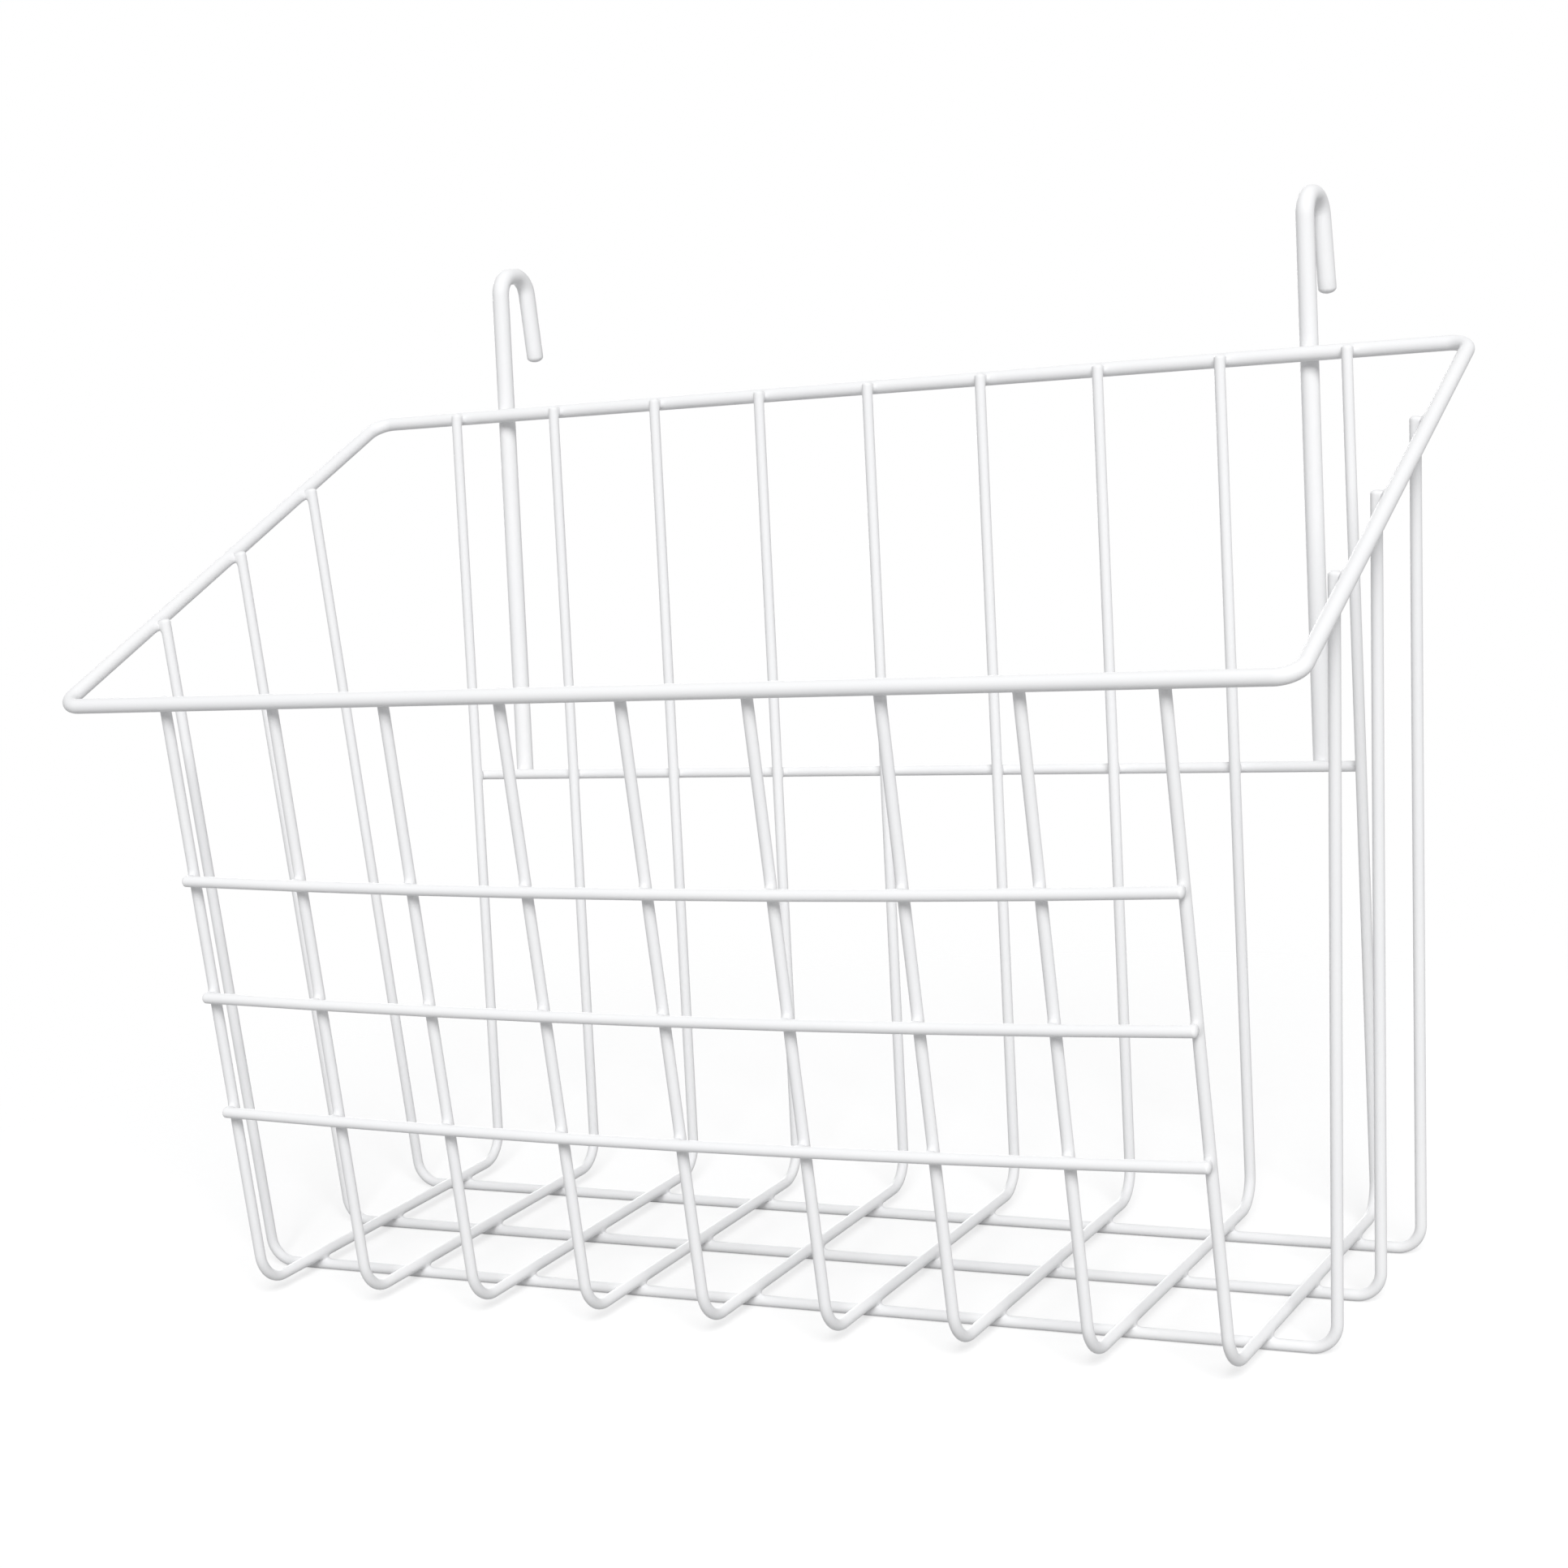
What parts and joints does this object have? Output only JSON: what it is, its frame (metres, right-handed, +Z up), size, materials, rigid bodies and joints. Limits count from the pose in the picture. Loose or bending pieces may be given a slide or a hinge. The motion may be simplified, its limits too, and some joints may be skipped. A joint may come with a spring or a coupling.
{
  "type": "hanging wire basket",
  "caption": "Open storage basket of coated steel wire with a rim sloping down to the front, tapered walls and hooks at the back that hang it on a rail or grid panel",
  "frame": {"origin": "On the ground, under the middle of the floor's middle long wire", "axes": "+X along the long side, to the right seen from the front; +Y to the back, where the hooks are; +Z up"},
  "size_m": [0.3036, 0.1649, 0.2417],
  "materials": {
    "white_coating": "white powder or dip coating over steel wire, satin"
  },
  "bodies": {
    "root": {"rim": "white_coating", "short_wire_1": "white_coating", "short_wire_2": "white_coating", "short_wire_3": "white_coating", "short_wire_4": "white_coating", "short_wire_5": "white_coating", "short_wire_6": "white_coating", "short_wire_7": "white_coating", "short_wire_8": "white_coating", "short_wire_9": "white_coating", "long_wire_front": "white_coating", "long_wire_middle": "white_coating", "long_wire_rear": "white_coating", "front_cross_wire_bottom": "white_coating", "front_cross_wire_middle": "white_coating", "front_cross_wire_top": "white_coating", "back_cross_wire": "white_coating", "hook_left": "white_coating", "hook_right": "white_coating"}
  },
  "joints": []
}
